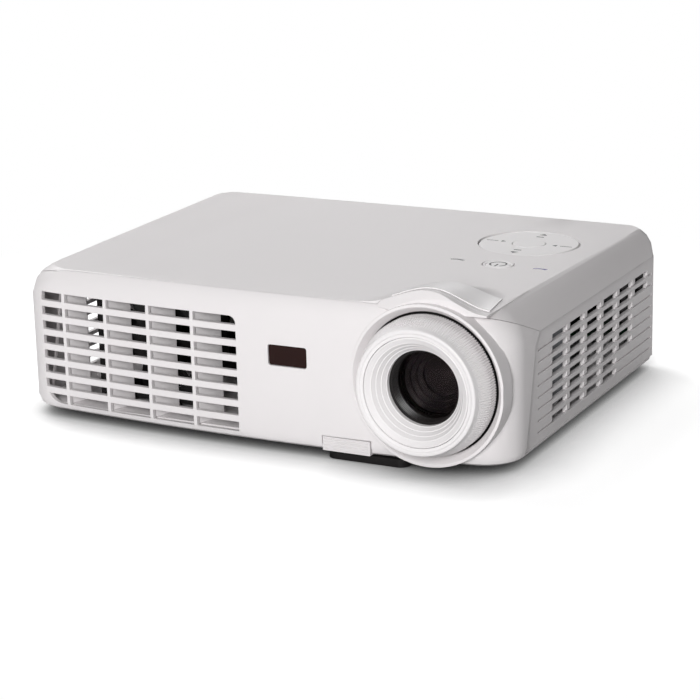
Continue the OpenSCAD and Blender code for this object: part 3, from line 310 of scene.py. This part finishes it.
def plastic(name, colour, roughness, grain=0.5, depth=0.02, clouds=0.03,
            coat=0.0, wear=0.0, edge=0.0, shine=0.5):
    """Moulded plastic: grain, depth and edge radius in mm, the others as shares."""
    material, tree, place = new_material(name)
    cloud = noise(tree, place, scale=28.0, detail=4.0, roughness=0.6)
    darker = [channel * (1 - clouds) for channel in colour]
    tint = mixed(tree, cloud, (*darker, 1), (*colour, 1))
    if wear > 0:
        tint = rubbed_edges(tree, tint, colour, wear)

    drift = ranged(
        tree, cloud, To_Min=roughness * (1 - PLASTIC_DRIFT), To_Max=roughness * (1 + PLASTIC_DRIFT),
    )
    corner = None
    if edge > 0:
        corner = add_node(tree, "ShaderNodeBevel", {"Radius": edge * MM}, samples=6).outputs["Normal"]
    tool_grain = noise(tree, place, scale=1 / (grain * MM), detail=2.0)
    set_surface(tree, add_node(tree, "ShaderNodeBsdfPrincipled", {
        "Base Color": tint,
        "Roughness": drift,
        "Normal": bumped(tree, tool_grain, strength=0.35, depth=depth * MM, normal=corner),
        "Specular IOR Level": shine,
        "Coat Weight": coat,
        "Coat Roughness": 0.12,
    }))
    return material


# %% [markdown]
# ## Metal and glass
#
# Metal gets fine marks from a noise. It is squeezed along an axis where the
# metal is brushed or drawn, and even where it is cast. The lens glass is clear
# with a coloured sheen. Its refraction is set far below real glass, because the
# coating on a real lens cuts the reflection in the same way, and dark cells
# behind it give the depth. A dust pattern roughens it here and there. Plain
# black discs would be quicker, but they stay flat when the part is turned.

# %% Metal recipe
METAL_SHADE = 0.82
METAL_DRIFT = 0.3


def metal(name, colour, roughness, brush=(1, 1, 40), depth=0.01):
    """Bare or plated metal; brush squeezes the marks along each axis, depth is in mm."""
    material, tree, place = new_material(name)
    squeezed = add_node(tree, "ShaderNodeMapping", {"Vector": place, "Scale": brush}).outputs["Vector"]
    marks = noise(tree, squeezed, scale=220.0, detail=3.0)
    darker = [channel * METAL_SHADE for channel in colour]
    drift = ranged(
        tree, marks, To_Min=roughness * (1 - METAL_DRIFT), To_Max=roughness * (1 + METAL_DRIFT),
    )
    set_surface(tree, add_node(tree, "ShaderNodeBsdfPrincipled", {
        "Base Color": mixed(tree, marks, (*darker, 1), (*colour, 1)),
        "Roughness": drift,
        "Normal": bumped(tree, marks, strength=0.4, depth=depth * MM),
        "Metallic": 1.0,
    }))
    return material


# %% Glass recipe
GLASS_ROUGHNESS = 0.03
DUST_ROUGHNESS = 0.06
COATED_IOR = 1.16


def coated_glass(name, colour, sheen):
    """Clear glass with a coloured coating and a little dust."""
    material, tree, place = new_material(name)
    dust = noise(tree, place, scale=700.0, detail=4.0, roughness=0.7)
    set_surface(tree, add_node(tree, "ShaderNodeBsdfPrincipled", {
        "Base Color": (*colour, 1),
        "Roughness": ranged(tree, dust, From_Min=0.55, To_Min=GLASS_ROUGHNESS, To_Max=DUST_ROUGHNESS),
        "Transmission Weight": 1.0,
        "IOR": COATED_IOR,
        "Specular Tint": (*sheen, 1),
    }))
    return material


# %% [markdown]
# ## The finishes by name
#
# Each finish is one call with its own sizes, so the satin housing, the finer
# lens ring and the matt black feet differ where real ones do. The names are the
# material slots of the CAD model. A few pieces need a finish of their own
# beside their slot: the side grilles, whose bars are too thin for the housing's
# edge radius, the ridges and cells at the front glass, and the key prints.

# %% Finishes
WHITE = (0.855, 0.825, 0.83)
EDGE_RADIUS = 0.45
THIN_EDGE_RADIUS = 0.12

thin_white = plastic("thin_white_louvre", WHITE, 0.48, edge=THIN_EDGE_RADIUS, shine=0.4)
finishes = {
    "white_moulding": plastic("satin_white_plastic", WHITE, 0.48, edge=EDGE_RADIUS, shine=0.4),
    "white_gloss": plastic("fine_white_plastic", (0.89, 0.865, 0.87), 0.45, depth=0.01, shine=0.4),
    # The wave strip is glossier than the housing, and its lighter white is painted sheen for the light
    # the strip catches.
    "bright_strip": plastic("polished_white_with_painted_sheen", (0.98, 0.955, 0.96), 0.38, grain=2, shine=1.0),
    "black_plastic": plastic("matt_black_plastic", (0.012, 0.011, 0.011), 0.5, depth=0.04, shine=0.25),
    "foot_rubber": plastic("black_rubber", (0.012, 0.012, 0.012), 0.75, grain=1.1, depth=0.06, wear=0.15),
    "plated_steel": metal("plated_steel", (0.62, 0.63, 0.65), 0.32),
    "socket_blue": plastic("blue_socket_plastic", (0.02, 0.07, 0.36), 0.4),
    "coated_glass": coated_glass("coated_lens_glass", (0.72, 0.66, 0.66), (0.9, 0.7, 0.85)),
    "filter_glass": coated_glass("filter_segments", (0.7, 0.8, 0.85), (0.7, 0.9, 0.6)),
    "dark_red_plastic": plastic("dark_window_plastic", (0.02, 0.006, 0.005), 0.12, grain=4, shine=0.2),
    "cast_metal": metal("die_cast_alloy", (0.3, 0.31, 0.33), 0.5, brush=(4, 4, 4), depth=0.06),
    "bare_aluminium": metal("extruded_aluminium", (0.72, 0.73, 0.75), 0.3, brush=(60, 2, 2)),
    "reflector": metal("reflector_coating", (0.85, 0.87, 0.9), 0.08, brush=(1, 1, 1)),
    "ceramic": plastic("lamp_ceramic", (0.82, 0.8, 0.72), 0.6, grain=0.3),
    "board_green": plastic("lacquered_board", (0.02, 0.14, 0.06), 0.35, grain=1.2, clouds=0.25, coat=0.4),
    "component_dark": plastic("component_body", (0.03, 0.03, 0.034), 0.5, clouds=0.3, wear=0.3),
    "smoked_light": plastic("smoked_light_window", (0.16, 0.16, 0.175), 0.2, grain=3, coat=0.3),
    "violet_light": plastic("violet_light_window", (0.14, 0.12, 0.34), 0.2, grain=3, coat=0.3),
    "brass_pins": metal("plated_brass", (0.78, 0.68, 0.4), 0.22),
    "yellow_plastic": plastic("yellow_jack_plastic", (0.75, 0.58, 0.03), 0.4),
    "green_plastic": plastic("green_jack_plastic", (0.05, 0.32, 0.12), 0.4),
}
print(len(finishes), "finishes")

# %% [markdown]
# ## Rounding the mouldings
#
# A moulded case has no knife edges: the tool leaves a small radius everywhere,
# and that radius is what catches the light. The CAD solids have sharp edges. A
# copy of each is welded, its flat faces are joined again and its curved faces
# are shaded smooth. The keys on top, the feet, the lamp door and the dark window
# then get a narrow bevel. The others have too many fine faces for that. Their
# radius, where they have one, is drawn by the shading of their finish, and their
# bevel below is 0. The copy takes the node's place, on the node's own body.

# %% What each node belongs to
nodes = frame["nodes"]
bodies = frame["record"]["behaviour"]["bodies"]
body_of = {node: body for body, members in bodies.items() for node in members}
slot_of = {row["node"]: row["material_slot"] for row in frame["record"]["subparts"]}

# %% Mesh helpers
SHARP = math.radians(30)


def mesh_from(work, name, finish):
    """Close a bmesh into a mesh with its faces outwards and one finish."""
    bmesh.ops.recalc_face_normals(work, faces=work.faces)
    mesh = bpy.data.meshes.new(name)
    work.to_mesh(mesh)
    work.free()
    mesh.materials.append(finish)
    return mesh


def apply_modifiers(piece):
    """Turn the modifiers of a piece into plain mesh."""
    bpy.context.view_layer.update()
    evaluated = piece.evaluated_get(bpy.context.evaluated_depsgraph_get())
    mesh = bpy.data.meshes.new_from_object(evaluated)
    mesh.name = piece.name
    piece.modifiers.clear()
    piece.data = mesh


def shade_by_angle(piece):
    """Smooth shading that keeps sharp corners sharp and large faces flat."""
    piece.data.shade_smooth()
    piece.data.set_sharp_from_angle(angle=SHARP)
    weigh = piece.modifiers.new("flat_faces_first", "WEIGHTED_NORMAL")
    weigh.mode = "FACE_AREA"
    weigh.weight = 80
    weigh.keep_sharp = True
    apply_modifiers(piece)


def belong(piece, body):
    """Let a piece ride on a body."""
    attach(piece, body)


# %% Copy and round a node
WELD = 0.002 * MM
FLAT = math.radians(0.05)
BEVEL_SEGMENTS = 2


def rounded_copy(node, width, finish):
    """A welded copy of a CAD node, bevelled if the width isn't 0, which replaces the node."""
    work = bmesh.new()
    work.from_mesh(nodes[node].data)
    bmesh.ops.remove_doubles(work, verts=work.verts, dist=WELD)
    bmesh.ops.dissolve_limit(work, angle_limit=FLAT, verts=work.verts, edges=work.edges)
    mesh = mesh_from(work, node + "_skin", finish)
    if mesh.has_custom_normals:
        mesh.attributes.remove(mesh.attributes["custom_normal"])
    piece = placed(node + "_skin", mesh)
    if width > 0:
        bevel = piece.modifiers.new("edge_radius", "BEVEL")
        bevel.width = width
        bevel.segments = BEVEL_SEGMENTS
        bevel.limit_method = "ANGLE"
        bevel.angle_limit = SHARP
    apply_modifiers(piece)
    shade_by_angle(piece)
    belong(piece, body_of[node])
    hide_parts(node)


# %% Round the visible pieces
BEVEL_MM = {
    "top_cover": 0, "bottom_case": 0, "front_bezel": 0, "rear_panel": 0,
    "left_grille": 0, "right_grille": 0, "exhaust_louvre": 0, "lamp_door": 0.3,
    "release_button": 0, "elevator_foot": 0.6, "left_foot_disc": 0.3,
    "right_foot_disc": 0.3, "direction_pad": 0.15, "menu_button": 0.4,
    "power_button": 0.15, "ir_window": 0.2, "wave_trim": 0,
}
THIN_PIECES = {"left_grille", "right_grille"}

for node, width in BEVEL_MM.items():
    finish = thin_white if node in THIN_PIECES else finishes[slot_of[node]]
    rounded_copy(node, width * MM, finish)
print(len(BEVEL_MM), "rounded copies")

# %% [markdown]
# ## The lens
#
# The grip ring, the hood, the ridged tube and the cells behind the glass are
# all turned shapes, so each is one profile spun about the lens axis. The
# profile's corners carry their own rounding, drawn as a short curve between two
# tangent points. A bevel modifier could round them too, but here each corner
# needs a radius of its own.

# %% Lathe
LENS_LOW, LENS_HIGH = (Vector(corner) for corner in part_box("focus_ring"))
LENS_AXIS = Vector(((LENS_LOW.x + LENS_HIGH.x) / 2, LENS_LOW.y, (LENS_LOW.z + LENS_HIGH.z) / 2))
LATHE_SIDES = 180


def softened(corners, steps):
    """Profile points from corners (radius, depth, rounding), all in mm."""
    points = []
    for index, (radius, depth, rounding) in enumerate(corners):
        here = Vector((radius, depth))
        if rounding == 0:
            points.append(here)
            continue
        before = Vector(corners[index - 1][:2]) - here
        after = Vector(corners[(index + 1) % len(corners)][:2]) - here
        start = here + before.normalized() * rounding
        end = here + after.normalized() * rounding
        for step in range(steps + 1):
            t = step / steps
            points.append(start * (1 - t) ** 2 + here * 2 * t * (1 - t) + end * t ** 2)
    return points


def lathe(name, profile, body, finish):
    """A closed profile of (radius, depth behind the ring's face), spun about the lens."""
    work = bmesh.new()
    rings = []
    for side in range(LATHE_SIDES):
        turn = 2 * math.pi * side / LATHE_SIDES
        rings.append([
            work.verts.new(LENS_AXIS + MM * Vector((r * math.cos(turn), depth, r * math.sin(turn))))
            for r, depth in profile
        ])
    for side, ring in enumerate(rings):
        beside = rings[(side + 1) % LATHE_SIDES]
        for step in range(len(profile)):
            onward = (step + 1) % len(profile)
            work.faces.new((ring[step], ring[onward], beside[onward], beside[step]))
    piece = placed(name, mesh_from(work, name, finish))
    shade_by_angle(piece)
    belong(piece, body)
    return piece


print("lens axis in mm:", [round(value / MM, 2) for value in LENS_AXIS])

# %% [markdown]
# ### Grip ring
#
# The ring starts with a rounded lip, widens in a cone and ends in a straight
# grip. It replaces the plainer CAD ring and turns with it. Each row is a corner
# of the section: its radius, its depth behind the ring's face, its rounding.

# %% Grip ring
BORE = 27.7
RING_BACK = 34.4
RING_END = 17.4

ring_profile = [
    (BORE, 0.9, 0), (29.1, 0.7, 0.3), (29.7, 0.05, 0.3), (31.4, 0.05, 0.9),
    (32.3, 4.6, 1.5), (RING_BACK, 11.2, 1.5), (RING_BACK, RING_END, 0), (BORE, RING_END, 0),
]
ring_points = softened(ring_profile, steps=5)
grip_ring = lathe("grip_ring", ring_points, "focus_ring", finishes["white_gloss"])
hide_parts("focus_ring")
print("grip ring:", len(grip_ring.data.polygons), "faces")

# %% [markdown]
# ### Hood
#
# Inside the ring the hood goes down towards the glass in four rounded steps,
# each a little deeper than the last, like a small amphitheatre. The steps come
# from a loop, so their number is one value.

# %% Hood
HOOD_WALL = 27.5
HOOD_BACK = 11.9
HOOD_LIP = 26.0
HOOD_FACE = 0.6
MOUTH = 19.0
HOOD_DEPTH = 9.4
HOOD_STEPS = 4
HOOD_CURVE = 1.15
STEP_OVERHANG = 0.28
STEP_ROUNDING = 0.12

hood_profile = [(HOOD_WALL, HOOD_BACK, 0), (HOOD_WALL, 1.0, 0.2), (26.9, 0.55, 0.2)]
for step in range(HOOD_STEPS):
    inward = (step + 1) / HOOD_STEPS
    radius = HOOD_LIP + (MOUTH - HOOD_LIP) * inward
    depth = HOOD_FACE + (HOOD_DEPTH - HOOD_FACE) * inward ** HOOD_CURVE
    hood_profile += [(radius + STEP_OVERHANG, depth, STEP_ROUNDING), (radius, depth, STEP_ROUNDING)]
hood_profile += [(MOUTH, HOOD_BACK, 0)]
hood_points = softened(hood_profile, steps=3)
hood = lathe("hood_bowl", hood_points, "housing", finishes["white_gloss"])
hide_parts("lens_hood")
print("hood:", len(hood.data.polygons), "faces")

# %% [markdown]
# ### Dark tube and lens cells
#
# A lens barrel is ridged inside so that stray light doesn't bounce to the
# screen. The ridges go from the mouth down to the rim of the front glass. Behind
# the glass, each smaller cell holds the next lens. Both are satin black. The
# cells, seen through the glass, give it its rings and its depth. Their back is
# closed by a black disc, painted shade for the dark depth of the lens beyond.
# A dark disc right behind the glass would be simpler, but it has neither.

# %% Ridges down to the glass
TUBE_WALL = 18.38
TUBE_FRONT = 12.1
RIDGE_CREST = 17.5
RIDGE_FOOT = 18.0
RIDGE_START = 12.3
RIDGE_PITCH = 1.3
RIDGE_RUN = 1.1
RIDGES = 6

tube_black = plastic("satin_black_tube", (0.012, 0.01, 0.01), 0.3, shine=0.3)
ridge_profile = [(TUBE_WALL, TUBE_FRONT, 0)]
for ridge in range(RIDGES):
    start = RIDGE_START + ridge * RIDGE_PITCH
    ridge_profile += [(RIDGE_CREST, start, 0.1), (RIDGE_FOOT, start + RIDGE_RUN, 0)]
ridge_profile += [(TUBE_WALL, RIDGE_START + RIDGES * RIDGE_PITCH, 0)]
lathe("tube_ridges", softened(ridge_profile, steps=3), "housing", tube_black)
print(RIDGES, "ridges")

# %% Cells behind the glass
CELL_WALL = 17.8
CELL_START = 23.2
CELL_PITCH = 2.6
CELL_RADIUS = 16.2
CELL_SHRINK = 2.3
CELL_THICK = 2.0
CELLS = 4
PINHOLE = 0.05
SHADE_DISC_RIM = 13.6
SHADE_DISC_FRONT = 34.0
SHADE_DISC_REAR = 35.0
WALL_END = 29.0

cell_profile = [(CELL_WALL, CELL_START, 0)]
for cell in range(CELLS):
    radius = CELL_RADIUS - cell * CELL_SHRINK
    start = CELL_START + cell * CELL_PITCH
    cell_profile += [(radius, start, 0.3), (radius, start + CELL_THICK, 0)]
# The cells end in a closed black disc: painted shade for the dark depth of the lens.
cell_profile += [
    (PINHOLE, SHADE_DISC_FRONT, 0), (PINHOLE, SHADE_DISC_REAR, 0),
    (SHADE_DISC_RIM, SHADE_DISC_REAR, 0), (CELL_WALL, WALL_END, 0),
]
lathe("lens_cells_and_shade_disc", softened(cell_profile, steps=3), "housing", tube_black)
print(CELLS, "cells")

# %% [markdown]
# ## Grip ribs by Geometry Nodes
#
# The ring's grip is one rib repeated all the way round. A node tree sets points
# on one spot, puts the rib on each one and turns it to its own angle, so the
# number of ribs and their size are single inputs. Modelling one rib and copying
# it by hand would look the same, but changing the count would mean starting again.

# %% Inputs of the rib tree
RIB_INPUTS = {
    "Count": ("NodeSocketInt", 168),
    "Front Radius": ("NodeSocketFloat", 31.3 * MM),
    "Back Radius": ("NodeSocketFloat", 34.68 * MM),
    "Cone Start": ("NodeSocketFloat", 2.2 * MM),
    "Cone End": ("NodeSocketFloat", 11.2 * MM),
    "Rib End": ("NodeSocketFloat", 17.3 * MM),
    "Rib Radius": ("NodeSocketFloat", 0.42 * MM),
    "Material": ("NodeSocketMaterial", finishes["white_gloss"]),
}
RIB_SIDES = 8

ribs_tree = bpy.data.node_groups.new("ribs_round_a_ring", "GeometryNodeTree")
rib_identifiers = {
    name: ribs_tree.interface.new_socket(name=name, in_out="INPUT", socket_type=kind).identifier
    for name, (kind, _) in RIB_INPUTS.items()
}
ribs_tree.interface.new_socket(name="Geometry", in_out="OUTPUT", socket_type="NodeSocketGeometry")
given = add_node(ribs_tree, "NodeGroupInput").outputs
print("rib tree inputs:", ", ".join(rib_identifiers))

# %% [markdown]
# ### One rib, then all of them
#
# A rib is two thin rods end to end: one along the cone and one along the
# straight grip. Both are lines given a round section. It is built upright, with
# its depth along Z. All the copies stand on the same spot, each turned by its
# share of the circle, and at the end the whole wreath is laid on the lens axis.

# %% One rib
def point(radius, depth):
    """A place on the rib: radius along X, depth along Z."""
    return add_node(ribs_tree, "ShaderNodeCombineXYZ", {"X": given[radius], "Z": given[depth]}).outputs[0]


def rod(section, start, end):
    """A line between two places, with a round section and closed ends."""
    line = add_node(ribs_tree, "GeometryNodeCurvePrimitiveLine", {
        "Start": point(*start), "End": point(*end),
    })
    return add_node(ribs_tree, "GeometryNodeCurveToMesh", {
        "Curve": line.outputs[0], "Profile Curve": section, "Fill Caps": True,
    }).outputs[0]


circle = add_node(ribs_tree, "GeometryNodeCurvePrimitiveCircle", {
    "Resolution": RIB_SIDES, "Radius": given["Rib Radius"],
}).outputs[0]
rib = add_node(ribs_tree, "GeometryNodeJoinGeometry")
spans = [
    (("Front Radius", "Cone Start"), ("Back Radius", "Cone End")),
    (("Back Radius", "Cone End"), ("Back Radius", "Rib End")),
]
for start, end in spans:
    ribs_tree.links.new(rod(circle, start, end), rib.inputs[0])
print("rods in a rib:", len(spans))

# %% All the ribs
spots = add_node(ribs_tree, "GeometryNodeMeshLine", {"Count": given["Count"], "Offset": (0, 0, 0)})
index = add_node(ribs_tree, "GeometryNodeInputIndex").outputs[0]
share = add_node(ribs_tree, "ShaderNodeMath", {0: index, 1: given["Count"]}, operation="DIVIDE")
turn = times(ribs_tree, share.outputs[0], 2 * math.pi)
copies = add_node(ribs_tree, "GeometryNodeInstanceOnPoints", {
    "Points": spots.outputs[0],
    "Instance": rib.outputs[0],
    "Rotation": add_node(ribs_tree, "ShaderNodeCombineXYZ", {"Z": turn}).outputs[0],
})
real = add_node(ribs_tree, "GeometryNodeRealizeInstances", {0: copies.outputs[0]})
wreath = add_node(ribs_tree, "GeometryNodeTransform", {
    "Geometry": real.outputs[0], "Translation": LENS_AXIS, "Rotation": (-math.pi / 2, 0, 0),
})
paint = add_node(ribs_tree, "GeometryNodeSetMaterial", {
    "Geometry": wreath.outputs[0], "Material": given["Material"],
})
add_node(ribs_tree, "NodeGroupOutput", {"Geometry": paint.outputs[0]})
print("rib tree:", len(ribs_tree.nodes), "nodes")

# %% Ribs on the ring
ribs = placed("grip_ribs", bpy.data.meshes.new("grip_ribs"))
modifier = ribs.modifiers.new("grip_ribs", "NODES")
modifier.node_group = ribs_tree
for name, (_, value) in RIB_INPUTS.items():
    modifier[rib_identifiers[name]] = value
apply_modifiers(ribs)
shade_by_angle(ribs)
belong(ribs, "focus_ring")
print("ribs:", len(ribs.data.polygons), "faces")

# %% [markdown]
# ## Marks on the keys
#
# The keys carry printed symbols: two arrows with a bar and two with a line on
# the direction pad, and the usual switch sign on the power button. Each is a
# print a few hundredths of a millimetre thick that lies on its key and moves
# with it. A painted mask in the key's material would do as well, but flat
# outlines keep their edges crisp at any distance.

# %% Printed plates
PRINT_THICK = 0.03 * MM
PRINT_LIFT = 0.005 * MM
print_ink = plastic("grey_key_print", (0.03, 0.03, 0.032), 0.6, grain=0.4, clouds=0.15, shine=0.3)


def loop_at(work, outline, centre, height):
    """Vertices along an outline in mm about a centre, all at one height."""
    return [work.verts.new((centre.x + x * MM, centre.y + y * MM, height)) for x, y in outline]


def printed(name, outlines, key):
    """Flat outlines in mm about the centre of a key, as one thin print on its top."""
    low, high = (Vector(corner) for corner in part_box(key))
    centre = (low + high) / 2
    bottom = high.z + PRINT_LIFT
    work = bmesh.new()
    for outline in outlines:
        under = loop_at(work, outline, centre, bottom)
        over = loop_at(work, outline, centre, bottom + PRINT_THICK)
        work.faces.new(list(reversed(under)))
        work.faces.new(over)
        for index in range(len(outline)):
            onward = (index + 1) % len(outline)
            work.faces.new((under[index], under[onward], over[onward], over[index]))
    belong(placed(name, mesh_from(work, name, print_ink)), key)
    print(name, "lies at", round(high.z / MM, 2), "mm")


# %% Outlines
def turned(outline, degrees):
    """An outline turned about the key's centre."""
    c, s = math.cos(math.radians(degrees)), math.sin(math.radians(degrees))
    return [(x * c - y * s, x * s + y * c) for x, y in outline]


def strip(x0, y0, x1, y1):
    """A rectangle given by two corners."""
    return [(x0, y0), (x1, y0), (x1, y1), (x0, y1)]


def arc_band(radius, width, start, end, steps=40):
    """A curved band between two angles, as one outline."""
    angles = [math.radians(start + (end - start) * step / steps) for step in range(steps + 1)]
    outer, inner = radius + width / 2, radius - width / 2
    there = [(outer * math.cos(angle), outer * math.sin(angle)) for angle in angles]
    back = [(inner * math.cos(angle), inner * math.sin(angle)) for angle in reversed(angles)]
    return there + back


# %% Marks on the pad
ARROW_HEAD = [(-2.3, 20.2), (2.3, 20.2), (0, 22.9)]
ARROW_BAR = strip(-2.1, 15.4, 2.1, 16.5)
WEDGE = [(-1.5, 15.8), (1.5, 15.8), (0, 13.3)]
WEDGE_LINE = strip(-0.35, 17.8, 0.35, 24.5)

pad_marks = [turned(shape, angle) for angle in (0, 180) for shape in (ARROW_HEAD, ARROW_BAR)]
pad_marks += [turned(shape, angle) for angle in (90, 270) for shape in (WEDGE, WEDGE_LINE)]
printed("pad_marks", pad_marks, "direction_pad")

# %% Switch sign on the power button
SIGN_RADIUS = 4.3
SIGN_WIDTH = 0.85
SIGN_START, SIGN_END = -60, 240
SIGN_STROKE = strip(-0.42, -5.0, 0.42, -0.4)

switch_sign = [arc_band(SIGN_RADIUS, SIGN_WIDTH, SIGN_START, SIGN_END), SIGN_STROKE]
printed("power_mark", switch_sign, "power_button")

# %% [markdown]
# ## The rest of the pieces
#
# Sockets, screws, boards, fans and the other inner pieces keep their CAD shape,
# because they are small, hidden or plain. They only get their finish. Rounding
# every one of them would cost many faces that nobody sees.

# %% Finish the nodes that keep their own shape
replaced = set(BEVEL_MM) | {"focus_ring", "lens_hood"}
kept = [node for node in nodes if node not in replaced]
for node in kept:
    piece = nodes[node]
    piece.data.materials.clear()
    piece.data.materials.append(finishes[slot_of[node]])
print(len(kept), "nodes keep their shape")
